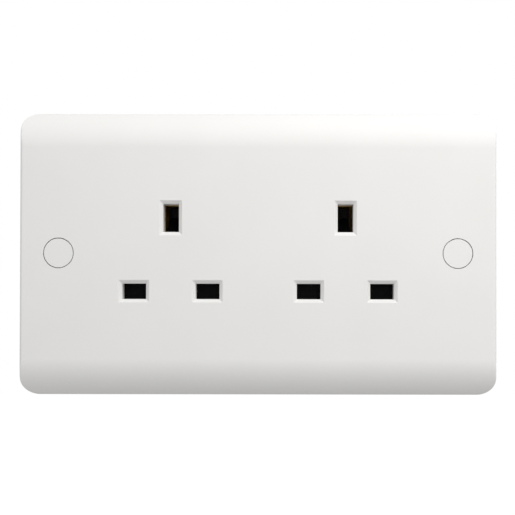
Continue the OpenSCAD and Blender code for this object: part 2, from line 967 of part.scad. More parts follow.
front_plate();
rear_housing();
screw_cap(LEFT);  // screw_cap_left
screw_cap(RIGHT);  // screw_cap_right
fixing_screw(LEFT);  // fixing_screw_left
fixing_screw(RIGHT);  // fixing_screw_right
shutter(LEFT);  // shutter_left
shutter(RIGHT);  // shutter_right
shutter_spring(LEFT);  // shutter_spring_left
shutter_spring(RIGHT);  // shutter_spring_right
line_bar();
neutral_bar();
earth_strap();
terminal(terminal_x, low_block_z);  // line_terminal
terminal(-terminal_x, low_block_z);  // neutral_terminal
terminal(-earth_terminal_x, high_block_z);  // earth_terminal_left
terminal(earth_terminal_x, high_block_z);  // earth_terminal_right
clamp_screw(terminal_x, low_clamp_z);  // line_terminal_screw
clamp_screw(-terminal_x, low_clamp_z);  // neutral_terminal_screw
clamp_screw(-earth_terminal_x, high_clamp_z);  // earth_terminal_screw_left
clamp_screw(earth_terminal_x, high_clamp_z);  // earth_terminal_screw_right
assembly_screw(joining_places[0]);  // assembly_screw_upper
assembly_screw(joining_places[1]);  // assembly_screw_lower
assembly_screw(joining_places[2]);  // assembly_screw_left
assembly_screw(joining_places[3]);  // assembly_screw_right
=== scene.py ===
# %% [markdown]
# # An unswitched double socket
#
# A white moulded plate with rounded corners carries two outlets. Its top and bottom edges fall
# back in a soft curve, two round caps hide the fixing screws, and black sprung shutters show
# through the pin apertures, with the edges of brass contacts behind them. The construction model
# already has every piece at its real size, so this script gives the pieces their finish, and
# models those again whose fine edges, threads and coils are too small for it.

# %% Load the construction
import math

import bmesh
import bpy
from mathutils import Matrix, Vector


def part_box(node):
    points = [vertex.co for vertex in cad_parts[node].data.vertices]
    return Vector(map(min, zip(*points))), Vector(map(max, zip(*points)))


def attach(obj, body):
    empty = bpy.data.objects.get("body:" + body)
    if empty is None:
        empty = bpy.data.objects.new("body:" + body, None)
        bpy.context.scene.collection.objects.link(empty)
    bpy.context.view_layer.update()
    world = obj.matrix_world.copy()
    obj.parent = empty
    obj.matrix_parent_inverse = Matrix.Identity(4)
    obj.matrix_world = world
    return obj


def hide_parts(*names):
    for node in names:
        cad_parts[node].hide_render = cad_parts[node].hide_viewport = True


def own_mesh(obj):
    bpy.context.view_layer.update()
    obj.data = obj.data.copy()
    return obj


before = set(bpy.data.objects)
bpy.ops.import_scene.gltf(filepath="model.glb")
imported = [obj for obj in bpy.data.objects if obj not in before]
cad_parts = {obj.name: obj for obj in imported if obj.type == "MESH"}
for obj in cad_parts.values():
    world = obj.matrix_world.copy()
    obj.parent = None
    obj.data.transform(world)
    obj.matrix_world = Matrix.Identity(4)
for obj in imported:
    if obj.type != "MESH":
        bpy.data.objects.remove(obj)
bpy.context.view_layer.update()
scene = bpy.context.scene
MM = 0.001

# %% [markdown]
# ## Working as at the bench
#
# Every new piece starts as a primitive that is added at its size and place. The operators act on
# all that is selected, so each helper starts by deselecting everything, and edges or faces are
# picked in code by where they are or which way they face. Sizes are in millimetres, as on a
# drawing, and turned into metres where an operator is called. The last two helpers extrude what
# is selected along y, and turn every face of a closed piece outwards.

# %% Helpers for selecting and for primitives
def begin():
    if bpy.context.mode != "OBJECT":
        bpy.ops.object.mode_set(mode="OBJECT")
    bpy.ops.object.select_all(action="DESELECT")


def hold(piece):
    begin()
    piece.select_set(True)
    bpy.context.view_layer.objects.active = piece


def edit(piece):
    hold(piece)
    bpy.ops.object.mode_set(mode="EDIT")
    bpy.ops.mesh.select_all(action="SELECT")


def pick(piece, kind, test):
    mesh = bmesh.from_edit_mesh(piece.data)
    modes = {"verts": "VERT", "edges": "EDGE", "faces": "FACE"}
    bpy.ops.mesh.select_mode(type=modes[kind])
    bpy.ops.mesh.select_all(action="DESELECT")
    found = 0
    for part in getattr(mesh, kind):
        if test(part):
            part.select_set(True)
            found += 1
    mesh.select_flush_mode()
    bmesh.update_edit_mesh(piece.data)
    return found


def place_in_mesh(piece):
    hold(piece)
    bpy.ops.object.transform_apply(location=True, rotation=True, scale=True)
    return piece


def block(name, low, high):
    low, high = Vector(low) * MM, Vector(high) * MM
    begin()
    bpy.ops.mesh.primitive_cube_add(size=1, location=(low + high) / 2, scale=high - low)
    piece = bpy.context.object
    piece.name = name
    return place_in_mesh(piece)


def push(distance):
    bpy.ops.mesh.extrude_region_move(TRANSFORM_OT_translate={"value": (0, distance * MM, 0)})


def outward(piece, merge=0.0):
    edit(piece)
    if merge:
        bpy.ops.mesh.remove_doubles(threshold=merge * MM)
    bpy.ops.mesh.normals_make_consistent(inside=False)
    begin()
    return piece


# %% [markdown]
# ## Turned shapes
#
# Screws, bosses, caps and the holes for them are all round about a line that runs into the wall.
# On a lathe they would be turned from bar. Here a circle is extruded from one station to the next
# and resized at each, which gives clean rings and a closed solid.

# %% Helper for turned shapes
def turned(name, x, z, stations, sides=48):
    first_y, first_r = stations[0]
    begin()
    bpy.ops.mesh.primitive_circle_add(
        vertices=sides,
        radius=first_r * MM,
        fill_type="NGON",
        location=(x * MM, first_y * MM, z * MM),
        rotation=(math.pi / 2, 0, 0),
    )
    piece = bpy.context.object
    piece.name = name
    place_in_mesh(piece)
    edit(piece)
    here_y, here_r = first_y, first_r
    for y, r in stations[1:]:
        push(y - here_y)
        if r != here_r:
            bpy.ops.transform.resize(
                value=(r / here_r, 1, r / here_r), center_override=(x * MM, y * MM, z * MM)
            )
        here_y, here_r = y, r
    return outward(piece)


# %% [markdown]
# ## Cutting, joining and softening
#
# Apertures and screw holes are cut, and bosses and collars are joined on, with Boolean modifiers
# that are applied at once. No moulded or pressed edge is knife sharp, so the last step on each
# piece is a narrow Bevel, and normals weighted by face area, which keep the wide flats flat under
# smooth shading. Where two short edges meet, the Bevel can leave faces without any area, which are
# dissolved, so the piece stays one closed skin.

# %% Helpers for solids
def gather(name, parts):
    begin()
    for part in parts:
        part.select_set(True)
    bpy.context.view_layer.objects.active = parts[0]
    if len(parts) > 1:
        bpy.ops.object.join()
    parts[0].name = name
    return parts[0]


def combine(piece, other, how):
    hold(piece)
    modifier = piece.modifiers.new(how.lower(), "BOOLEAN")
    modifier.operation = how
    modifier.solver = "EXACT"
    modifier.use_self = True
    modifier.object = other
    bpy.ops.object.modifier_apply(modifier=modifier.name)
    bpy.data.objects.remove(other)
    return piece


def soften(piece, width, segments=2, angle=32):
    hold(piece)
    bevel = piece.modifiers.new("soft edges", "BEVEL")
    bevel.width = width * MM
    bevel.segments = segments
    bevel.limit_method = "ANGLE"
    bevel.angle_limit = math.radians(angle)
    bevel.miter_outer = "MITER_ARC"
    bpy.ops.object.modifier_apply(modifier=bevel.name)
    edit(piece)
    bpy.ops.mesh.dissolve_degenerate(threshold=0.0005 * MM)
    begin()
    return piece


def smooth(piece, angle=30):
    hold(piece)
    bpy.ops.object.shade_smooth_by_angle(angle=math.radians(angle))
    weighted = piece.modifiers.new("weighted normals", "WEIGHTED_NORMAL")
    weighted.keep_sharp = True
    bpy.ops.object.modifier_apply(modifier=weighted.name)
    begin()
    return piece


def finished(piece, body, material_slot, material, *nodes):
    piece.data.materials.clear()
    piece.data.materials.append(material)
    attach(piece, body)
    if nodes:
        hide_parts(*nodes)
    print(f"{piece.name}: {len(piece.data.polygons)} faces")


# %% [markdown]
# ## The camera
#
# The plate was photographed from in front, from 39 cm away, a little below its middle line and to
# the right of its centre, with the film nearly parallel to it. So the lens is shifted to the left
# and up, and the left walls of the pin apertures show more than the right ones. The lens and
# place were found by fitting the outline, the apertures and the caps. The shifts are in pixels of
# the 515 pixel frame, and so is the focal length.

# %% Camera
bpy.ops.object.select_all(action="DESELECT")
bpy.ops.object.camera_add()
camera = bpy.context.object
camera.name = "camera"
FRAME, FOCAL, SHIFT_X, SHIFT_Y = 515, 1259.9, -30.4, 35.0
LOOK_UP, ROLL = 0.78, 0.1
STAND = Vector((9, -389, -17))
camera.data.sensor_width = 36
camera.data.lens = camera.data.sensor_width * FOCAL / FRAME
camera.data.shift_x = SHIFT_X / FRAME
camera.data.shift_y = SHIFT_Y / FRAME
camera.data.clip_start = 0.01
upright = Matrix.Rotation(math.radians(90 + LOOK_UP), 4, "X")
aim = upright @ Matrix.Rotation(math.radians(ROLL), 4, "Z")
camera.matrix_world = Matrix.Translation(STAND * MM) @ aim
scene.camera = camera
print("Lens", round(camera.data.lens, 1), "mm")

# %% [markdown]
# ## Shader sums as plain expressions
#
# A finish is a small program that runs at every point of a surface. The class below wraps one
# value on its way through the nodes, so that a sum such as `1 - grain * 0.2` adds its Math nodes
# by itself. Every other node comes from one method, which takes the node's type, its settings and
# its sockets.

# %% Shader helper
class Flow:
    def __init__(self, finish, socket):
        self.finish = finish
        self.socket = socket

    def sum(self, operation, first, second):
        return self.finish.node("ShaderNodeMath", {"operation": operation}, {0: first, 1: second})

    def __add__(self, other):
        return self.sum("ADD", self, other)

    def __radd__(self, other):
        return self.sum("ADD", other, self)

    def __sub__(self, other):
        return self.sum("SUBTRACT", self, other)

    def __rsub__(self, other):
        return self.sum("SUBTRACT", other, self)

    def __mul__(self, other):
        return self.sum("MULTIPLY", self, other)

    def __rmul__(self, other):
        return self.sum("MULTIPLY", other, self)


class Finish:
    def __init__(self, name):
        self.material = bpy.data.materials.new(name)
        self.material.use_nodes = True
        self.tree = self.material.node_tree
        self.tree.nodes.clear()

    def node(self, kind, settings=None, sockets=None, output=0):
        made = self.tree.nodes.new(kind)
        for key, value in (settings or {}).items():
            if key == "stops":
                ramp = made.color_ramp
                while len(ramp.elements) < len(value):
                    ramp.elements.new(1)
                for element, (place, colour) in zip(ramp.elements, value):
                    element.position = place
                    element.color = (*colour, 1)
            else:
                setattr(made, key, value)
        for key, value in (sockets or {}).items():
            if isinstance(value, Flow):
                self.tree.links.new(value.socket, made.inputs[key])
            else:
                made.inputs[key].default_value = value
        return Flow(self, made.outputs[output]) if made.outputs else None

    def place(self, stretch=(1, 1, 1)):
        point = self.node("ShaderNodeTexCoord", output="Object")
        return self.node("ShaderNodeMapping", {}, {"Vector": point, "Scale": stretch})

    def noise(self, point, size, detail=3, roughness=0.5):
        return self.node(
            "ShaderNodeTexNoise",
            {},
            {"Vector": point, "Scale": 1 / (size * MM), "Detail": detail, "Roughness": roughness},
        )

    def ramp(self, value, *stops):
        return self.node("ShaderNodeValToRGB", {"stops": stops}, {"Fac": value})

    def bump(self, height, depth, strength=1.0, under=None):
        sockets = {"Height": height, "Distance": depth * MM, "Strength": strength}
        if under is not None:
            sockets["Normal"] = under
        return self.node("ShaderNodeBump", {}, sockets)

    def surface(self, sockets):
        shader = self.node("ShaderNodeBsdfPrincipled", {}, sockets)
        self.node("ShaderNodeOutputMaterial", {}, {"Surface": shader})
        return self.material


# %% [markdown]
# ## White thermoset
#
# The plate and caps are moulded from a white urea plastic. It is nearly even in colour, with a
# satin gloss from the polished tool: under a lamp the surface shows a very shallow orange peel
# about a millimetre across, and a finer grain breaks up the gloss. Both are noise read in object
# coordinates, so they stay put on the piece, and the tint wanders by less than one part in a
# hundred.

# %% White moulding
white = Finish("white thermoset")
point = white.place()
cloud = white.noise(point, 18, 2)
peel = white.noise(point, 1.6, 2)
grain = white.noise(point, 0.22, 2)
white_moulding = white.surface(
    {
        "Base Color": white.ramp(
            cloud, (0.3, (0.785, 0.78, 0.772)), (0.7, (0.8, 0.795, 0.788))
        ),
        "Roughness": 0.55 + grain * 0.1 + cloud * 0.04,
        "Normal": white.bump(grain, 0.002, 0.35, white.bump(peel, 0.012, 0.5)),
        "IOR": 1.4,
    }
)
print("White moulding has", len(white.tree.nodes), "nodes")

# %% [markdown]
# ## Black mouldings
#
# The rear housing is black thermoset with a matt, faintly mottled skin. The shutters are black
# nylon, which is smoother, with a waxy sheen and faint flow lines along its travel.

# %% Black mouldings
black = Finish("black thermoset")
point = black.place()
mottle = black.noise(point, 5, 4)
grain = black.noise(point, 0.35, 3)
black_moulding = black.surface(
    {
        "Base Color": black.ramp(
            mottle, (0.3, (0.022, 0.022, 0.023)), (0.7, (0.034, 0.033, 0.033))
        ),
        "Roughness": 0.46 + grain * 0.16,
        "Normal": black.bump(grain, 0.01, 0.5, black.bump(mottle, 0.03, 0.4)),
    }
)

nylon = Finish("black nylon")
flow_lines = nylon.noise(nylon.place((1, 1, 0.15)), 0.8, 3)
grain = nylon.noise(nylon.place(), 0.15, 2)
black_shutter = nylon.surface(
    {
        "Base Color": nylon.ramp(
            flow_lines, (0.3, (0.003, 0.003, 0.003)), (0.75, (0.006, 0.0055, 0.0055))
        ),
        "Roughness": 0.26 + flow_lines * 0.1 + grain * 0.06,
        "Normal": nylon.bump(flow_lines, 0.004, 0.4, nylon.bump(grain, 0.002, 0.3)),
        "IOR": 1.1,
    }
)
print("Black mouldings ready")

# %% [markdown]
# ## Brass
#
# The contacts are folded from rolled strip, so fine roll lines run along it, and a thin brown
# tarnish, which is less metallic, has started in patches. The terminal blocks are cut from bar
# and keep fine saw lines across.

# %% Brass
def brass(name, line_stretch, bright, dull):
    finish = Finish(name)
    lines = finish.noise(finish.place(line_stretch), 0.25, 3)
    patches = finish.noise(finish.place(), 4.5, 4, 0.6)
    tarnish = finish.node(
        "ShaderNodeMapRange", {}, {"Value": patches, "From Min": 0.48, "From Max": 0.72}
    )
    return finish.surface(
        {
            "Base Color": finish.ramp(tarnish, (0.0, bright), (1.0, dull)),
            "Metallic": 1 - tarnish * 0.4,
            "Roughness": 0.34 + lines * 0.14 + tarnish * 0.16,
            "Normal": finish.bump(lines, 0.004, 0.5),
        }
    )


brass_strip = brass("rolled brass", (0.06, 1, 1), (0.81, 0.58, 0.25), (0.5, 0.32, 0.13))
brass_block = brass("sawn brass", (1, 1, 0.08), (0.83, 0.62, 0.29), (0.58, 0.39, 0.17))
print("Brass ready")

# %% [markdown]
# ## Plated steel
#
# The screws are steel with a bright plating. It is smooth, with a slightly cloudy gloss and
# turning lines round each screw so fine that they only spread the highlights. The springs are
# drawn wire.

# %% Plated steel and spring wire
plated = Finish("nickel-plated steel")
cloudy = plated.noise(plated.place(), 1.2, 4)
fine = plated.noise(plated.place((1, 6, 1)), 0.3, 2)
plated_steel = plated.surface(
    {
        "Base Color": plated.ramp(
            cloudy, (0.3, (0.62, 0.6, 0.56)), (0.75, (0.72, 0.71, 0.68))
        ),
        "Metallic": 1.0,
        "Roughness": 0.18 + cloudy * 0.16,
        "Normal": plated.bump(fine, 0.003, 0.5),
    }
)

wire = Finish("drawn spring wire")
drawn = wire.noise(wire.place((1, 1, 4)), 0.2, 3)
spring_wire = wire.surface(
    {
        "Base Color": wire.ramp(drawn, (0.3, (0.4, 0.4, 0.41)), (0.7, (0.58, 0.58, 0.58))),
        "Metallic": 1.0,
        "Roughness": 0.25 + drawn * 0.15,
        "Normal": wire.bump(drawn, 0.004, 0.5),
    }
)
print("Steel ready")

# %% [markdown]
# ## The plate's form
#
# The plate is 146 by 86 mm and 9 mm deep. A block has its four upright corners rounded, and the
# hollow at the back is an inset face pushed in. Its front is then divided into narrow strips near
# the edges, and each strip's edge is dropped to where the two real curves put it: a wide arc
# along the top and bottom, and a tight one down the short sides. Dividing first and moving
# afterwards keeps every strip flat along its length, so the big front face stays perfectly plane.

# %% Plate: the block and its hollow
plate_low, plate_high = (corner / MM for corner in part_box("front_plate"))
FACE_Y = plate_low.y
HALF_W, HALF_H = plate_high.x, plate_high.z
CORNER_R = 5.5
RIM = 2.4
WALL = 2.6
INNER_Y = FACE_Y + WALL
LEAN = 1.1
SIDE_R = 1.0
tilt = math.atan2(LEAN, -FACE_Y)
ROUND_END_Y = FACE_Y + SIDE_R * (1 - math.sin(tilt))
FRONT_HALF_W = HALF_W + LEAN * ROUND_END_Y / -FACE_Y
plate = block("plate", (-HALF_W, FACE_Y, -HALF_H), (HALF_W, 0, HALF_H))
edit(plate)
pick(plate, "faces", lambda face: face.normal.y < -0.9)
bpy.ops.transform.resize(value=(FRONT_HALF_W / HALF_W, 1, 1), center_override=(0, 0, 0))
pick(plate, "edges", lambda edge: abs((edge.verts[0].co - edge.verts[1].co).normalized().y) > 0.9)
bpy.ops.mesh.bevel(offset=CORNER_R * MM, segments=12, profile=0.5, affect="EDGES")
pick(plate, "faces", lambda face: face.normal.y > 0.9)
bpy.ops.mesh.inset(thickness=RIM * MM)
push(INNER_Y)
print("Plate block:", len(bmesh.from_edit_mesh(plate.data).faces), "faces")

# %% [markdown]
# The arc along the long edges has a radius of 12.9 mm, starts 11 mm in from the edge and ends in
# a small 2 mm round at the edge itself, which draws the thin dark line below the plate. The short
# sides lean in by 1.1 mm from the wall and end in a 1 mm round. Where both meet, the drops are
# added as a cubic norm, which melts the mitre, and each point near a side moves out as far as its
# side leans.

# %% Plate: the curved front
ARC_R, ARC_Y, FLAT_Z = 12.858, 3.858, 32.0
EDGE_R = 2.0
EDGE_Y = ARC_Y - math.sqrt((ARC_R - EDGE_R) ** 2 - (HALF_H - EDGE_R - FLAT_Z) ** 2)
EDGE_Z = FLAT_Z + (HALF_H - EDGE_R - FLAT_Z) * ARC_R / (ARC_R - EDGE_R)
ROUND_X = FRONT_HALF_W - SIDE_R * math.cos(tilt)


def long_edge_drop(z):
    over = abs(z) - FLAT_Z
    if over <= 0:
        return 0.0
    if abs(z) < EDGE_Z:
        return ARC_Y - math.sqrt(ARC_R**2 - over**2) - FACE_Y
    down = min(abs(z) - (HALF_H - EDGE_R), EDGE_R)
    return EDGE_Y - math.sqrt(EDGE_R**2 - down**2) - FACE_Y


def side_drop(x):
    over = min(abs(x) - ROUND_X, SIDE_R)
    return SIDE_R - math.sqrt(SIDE_R**2 - over**2) if over > 0 else 0.0


def front_point(x, z):
    y = FACE_Y + (long_edge_drop(z) ** 3 + side_drop(x) ** 3) ** (1 / 3)
    near_side = max(abs(x) - (FRONT_HALF_W - CORNER_R), 0) / CORNER_R
    out = (HALF_W + LEAN * y / -FACE_Y - FRONT_HALF_W) * near_side
    return Vector((x + math.copysign(out, x), y, z)) * MM


def hollow_y(z):
    over = max(abs(z) - FLAT_Z, 0)
    return ARC_Y - math.sqrt((ARC_R - WALL) ** 2 - over**2)


def faces_front(face):
    middle = face.calc_center_median().y / MM
    return abs(face.normal.y) > 0.5 and middle < INNER_Y + 0.1


mesh = bmesh.from_edit_mesh(plate.data)
corner_levels = {round(abs(v.co.z) / MM, 4) for v in mesh.verts if v.co.y / MM < FACE_Y + 0.01}
z_levels = sorted({round(FLAT_Z + step * 0.6875, 4) for step in range(8)} | corner_levels)
x_levels = [ROUND_X + SIDE_R * math.sin(math.radians(step)) for step in (0, 17, 34, 51, 68)]
for level in [z for z in z_levels if z < HALF_H - 0.01]:
    for side in (-1, 1):
        pick(plate, "faces", faces_front)
        bpy.ops.mesh.bisect(plane_co=(0, 0, side * level * MM), plane_no=(0, 0, 1))
for level in x_levels:
    for side in (-1, 1):
        pick(plate, "faces", faces_front)
        bpy.ops.mesh.bisect(plane_co=(side * level * MM, 0, 0), plane_no=(1, 0, 0))
mesh = bmesh.from_edit_mesh(plate.data)
for vert in mesh.verts:
    x, y, z = vert.co / MM
    if y < FACE_Y + 0.01:
        vert.co = front_point(x, z)
    elif y < INNER_Y + 0.01:
        vert.co.y = hollow_y(z) * MM
bmesh.update_edit_mesh(plate.data)
begin()
print("Plate front:", len(plate.data.polygons), "faces")

# %% [markdown]
# ## What is moulded inside the plate
#
# Behind each aperture a collar leads the pin to the shutter, rails guide the shutter, and bosses
# and pillars take the screws. They are plain blocks and rods, sunk a little into the front wall
# so that the join leaves no seam.

# %% Plate: collars, rails, posts and bosses
OUTLETS = (-26.4, 26.4)
PIN_Z, EARTH_Z = -11.5, 10.7
APERTURES = [
    (x, z, w, h)
    for middle in OUTLETS
    for x, z, w, h in (
        (middle - 11.1, PIN_Z, 7.2, 4.7),
        (middle + 11.1, PIN_Z, 7.2, 4.7),
        (middle, EARTH_Z, 4.75, 8.5),
    )
]
PILLARS = [(0, 8), (0, PIN_Z), (-47.5, 10), (47.5, 10)]
POSTS = [(-47.5, -19.1), (47.5, -19.1), (-8, 21.2), (8, 21.2)]
SUNK_Y = INNER_Y - 1
COLLAR_Y = -3.0
COLLAR_WALL = 1.5
POST_Y = plate_high.y
RAIL_Y = -0.4
FIXINGS = (-60.3, 60.3)
inside = []
for x, z, w, h in APERTURES:
    out_x, out_z = w / 2 + COLLAR_WALL, h / 2 + COLLAR_WALL
    inside.append(block("collar", (x - out_x, SUNK_Y, z - out_z), (x + out_x, COLLAR_Y, z + out_z)))
inside += [turned("pillar", x, z, [(SUNK_Y, 3.2), (2.0, 3.2)]) for x, z in PILLARS]
inside += [block("post", (x - 2.5, SUNK_Y, z - 2.5), (x + 2.5, POST_Y, z + 2.5)) for x, z in POSTS]
inside += [turned("boss", x, 0, [(SUNK_Y, 6.2), (0, 6.2)], 72) for x in FIXINGS]
for middle in OUTLETS:
    for side in (-1, 1):
        rail = middle + side * 16.15
        wall = middle + side * 3.0
        inside.append(block("rail", (rail - 0.75, SUNK_Y, -19.65), (rail + 0.75, RAIL_Y, -5.75)))
        inside.append(block("wall", (wall - 0.7, SUNK_Y, -27.0), (wall + 0.7, RAIL_Y, -20.25)))
combine(plate, gather("inside", inside), "UNION")
print("Plate with its inside:", len(plate.data.polygons), "faces")

# %% [markdown]
# ## Apertures and screw holes
#
# A cutter for an aperture is a bar as thick as the hole, whose front end widens by 1 mm all round
# over the last millimetre, which leaves the bevelled mouth. The fixing holes are cut with one
# turned shape that has a step for each diameter: the cap's recess, the head's bore, the
# countersink and the hole.

# %% Plate: cut the holes
BEVEL = 1.0
RECESS_Y, RECESS_R = -7.2, 4.62
BORE_R, HOLE_R = 3.9, 2.1
HEAD_Y = -5.3


def aperture_cutter(x, z, w, h):
    low, high = (x - w / 2, FACE_Y + BEVEL, z - h / 2), (x + w / 2, COLLAR_Y + 1, z + h / 2)
    piece = block("cutter", low, high)
    edit(piece)
    pick(piece, "faces", lambda face: face.normal.y < -0.9)
    deep = BEVEL + 0.5
    push(-deep)
    bpy.ops.transform.resize(
        value=((w + 2 * deep) / w, 1, (h + 2 * deep) / h), center_override=(x * MM, 0, z * MM)
    )
    begin()
    return piece


cutters = [aperture_cutter(*place) for place in APERTURES]
for x in FIXINGS:
    steps = [(FACE_Y - 1, RECESS_R), (RECESS_Y, RECESS_R), (RECESS_Y, BORE_R), (HEAD_Y, BORE_R)]
    steps += [(HEAD_Y, 3.35), (-4.05, HOLE_R), (1, HOLE_R)]
    cutters.append(turned("cutter", x, 0, steps, 96))
cutters += [turned("cutter", x, z, [(-4.0, 1.55), (3, 1.55)]) for x, z in PILLARS]
combine(plate, gather("cutters", cutters), "DIFFERENCE")
outward(plate, 0.001)
soften(plate, 0.16, 3)
smooth(plate)
finished(plate, "socket", "white_moulding", white_moulding, "front_plate")

# %% [markdown]
# ## Screw caps
#
# Each cap is a disc flush with the plate, with a soft edge, standing in its recess. A step in the
# disc leaves a fine, deep gap at the face. Behind the disc a split skirt grips the bore. The disc
# is turned, its skirt's slot is cut, and the finished cap is copied to the other end with a mesh
# of its own.

# %% Caps
CAP_R, STEP_Y, STEP_R = 4.35, -8.1, 4.54
SKIRT_R, SKIRT_INNER_R, SKIRT_Y = 3.85, 2.85, -5.7
steps = [(FACE_Y, CAP_R), (STEP_Y, CAP_R), (STEP_Y, STEP_R), (RECESS_Y, STEP_R)]
steps += [(RECESS_Y, SKIRT_R), (SKIRT_Y, SKIRT_R), (SKIRT_Y, SKIRT_INNER_R), (-7.4, SKIRT_INNER_R)]
cap = turned("cap_left", FIXINGS[0], 0, steps, 96)
slot = block("slot", (FIXINGS[0] - 0.6, RECESS_Y, -5), (FIXINGS[0] + 0.6, -5, 5))
combine(cap, slot, "DIFFERENCE")
soften(cap, 0.12, 3)
smooth(cap)
begin()
cap.select_set(True)
bpy.context.view_layer.objects.active = cap
bpy.ops.object.duplicate()
other_cap = bpy.context.object
other_cap.name = "cap_right"
other_cap.location.x = (FIXINGS[1] - FIXINGS[0]) * MM
place_in_mesh(other_cap)
finished(cap, "socket", "white_moulding", white_moulding, "screw_cap_left")
finished(other_cap, "socket", "white_moulding", white_moulding, "screw_cap_right")

# %% [markdown]
# ## Shutter springs
#
# Each shutter stands on a coil of 0.45 mm wire with eight turns, closed up at both ends. Its
# centre line is a curve whose points come from a loop: the pitch is small over the first and last
# turn and wider between. The wire's round section is the curve's bevel.

# %% Springs
SPRING_Y, SPRING_SEAT, COIL_R, WIRE_R = -1.45, -27.2, 1.775, 0.225
SPRING_LOW, SPRING_HIGH, TURNS, STEPS = -26.975, -14.475, 8, 26
TIGHT_PITCH, OPEN_PITCH = 0.48, 1.88


def pitch_at(turn):
    from_end = min(turn, TURNS - turn)
    opened = min(max(from_end - 0.7, 0) / 0.6, 1)
    return TIGHT_PITCH + (OPEN_PITCH - TIGHT_PITCH) * opened


def spring(name, x, node):
    rises = [pitch_at((step + 0.5) / STEPS) for step in range(TURNS * STEPS)]
    begin()
    bpy.ops.curve.primitive_nurbs_path_add(location=(0, 0, 0))
    piece = bpy.context.object
    piece.name = name
    coil = piece.data
    coil.splines.clear()
    line = coil.splines.new("POLY")
    line.points.add(TURNS * STEPS)
    for step, point in enumerate(line.points):
        around = math.tau * step / STEPS
        z = SPRING_LOW + (SPRING_HIGH - SPRING_LOW) * sum(rises[:step]) / sum(rises)
        place = (x + COIL_R * math.cos(around), SPRING_Y + COIL_R * math.sin(around), z)
        point.co = (*(Vector(place) * MM), 1)
    coil.dimensions = "3D"
    coil.bevel_depth = WIRE_R * MM
    coil.bevel_resolution = 3
    coil.use_fill_caps = True
    hold(piece)
    bpy.ops.object.convert(target="MESH")
    piece = bpy.context.object
    outward(piece, 0.0005)
    smooth(piece, 50)
    finished(piece, "socket", "spring_steel", spring_wire, node)
    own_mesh(piece)


spring("coil_left", OUTLETS[0], "shutter_spring_left")
spring("coil_right", OUTLETS[1], "shutter_spring_right")

# %% [markdown]
# ## Threaded screws
#
# A screw is turned first, its slot or cross is cut and its edges are softened. The thread comes
# last: the threaded length is divided into rings, eight to each pitch, and every point moves in
# or out with its height along the helix. The thread fades in and out over one pitch, as a rolled
# thread does.

# %% Helpers for screws
def thread(piece, x, z, start, end, root, outer, pitch):
    edit(piece)
    length = (end - start) * MM
    pick(
        piece,
        "edges",
        lambda edge: abs(edge.verts[0].co.y - edge.verts[1].co.y) > 0.9 * length,
    )
    bpy.ops.mesh.subdivide(number_cuts=round((end - start) / pitch * 8))
    mesh = bmesh.from_edit_mesh(piece.data)
    for vert in mesh.verts:
        y = vert.co.y / MM
        if start + 0.01 < y < end - 0.01:
            out_x, out_z = vert.co.x - x * MM, vert.co.z - z * MM
            helix = y / pitch - math.atan2(out_z, out_x) / math.tau
            fade = min((y - start) / pitch, (end - y) / pitch, 1)
            height = (0.5 + 0.5 * math.cos(math.tau * helix)) * fade
            grow = (root + (outer - root) * height) / (math.hypot(out_x, out_z) / MM)
            vert.co.x, vert.co.z = x * MM + out_x * grow, z * MM + out_z * grow
    bmesh.update_edit_mesh(piece.data)
    begin()
    return piece


def screw(name, x, z, stations, cutters, threaded, node):
    piece = turned(name, x, z, stations, 36)
    for cutter in cutters:
        combine(piece, cutter, "DIFFERENCE")
    soften(piece, 0.07, 2)
    thread(piece, x, z, *threaded)
    smooth(piece, 42)
    finished(piece, "socket", "plated_screw", plated_steel, node)


# %% [markdown]
# The two wall screws are M3.5 with a countersunk slotted head, and stand 24 mm out of the back.
# The terminal screws are M3.5 too, with a cheese head. The joining screws have a coarse thread
# for plastic, a domed pan head and a cross recess that narrows towards its bottom.

# %% Screws
M35_ROOT, M35_OUTER, M35_PITCH = 1.4, 1.75, 0.6
WALL_END_Y = 24.0
THREAD_END_Y = WALL_END_Y - 0.6
SLOT_DEPTH = 1.1
for x, word in zip(FIXINGS, ("left", "right")):
    steps = [(HEAD_Y, 3.3), (-3.45, 1.45), (0, 1.45), (0.3, M35_ROOT)]
    steps += [(THREAD_END_Y, M35_ROOT), (WALL_END_Y, 1.15)]
    slot = block("slot", (x - 0.5, HEAD_Y - 1, -4), (x + 0.5, HEAD_Y + SLOT_DEPTH, 4))
    wall_thread = (0.3, THREAD_END_Y, M35_ROOT, M35_OUTER, M35_PITCH)
    screw(f"wall_screw_{word}", x, 0, steps, [slot], wall_thread, f"fixing_screw_{word}")

TERMINALS = [
    ("line", 47.5, -19.1, "line_terminal_screw"),
    ("neutral", -47.5, -19.1, "neutral_terminal_screw"),
    ("earth_left", -8, 21.2, "earth_terminal_screw_left"),
    ("earth_right", 8, 21.2, "earth_terminal_screw_right"),
]
CLAMP_HEAD_END_Y = 16.0
for word, x, z, node in TERMINALS:
    steps = [(9.45, 1.1), (9.75, M35_ROOT), (13.4, M35_ROOT), (13.6, 1.7)]
    steps += [(13.6, 2.8), (15.75, 2.8), (CLAMP_HEAD_END_Y, 2.6)]
    slot_y = CLAMP_HEAD_END_Y - SLOT_DEPTH
    slot = block("slot", (x - 4, slot_y, z - 0.5), (x + 4, CLAMP_HEAD_END_Y + 1, z + 0.5))
    clamp_thread = (9.75, 13.4, M35_ROOT, M35_OUTER, M35_PITCH)
    screw(f"clamp_screw_{word}", x, z, steps, [slot], clamp_thread, node)


CROSS_Y = 14.9
ARM_L, ARM_T = 1.6, 0.35
COARSE_ROOT, COARSE_OUTER, COARSE_PITCH = 1.05, 1.5, 1.1


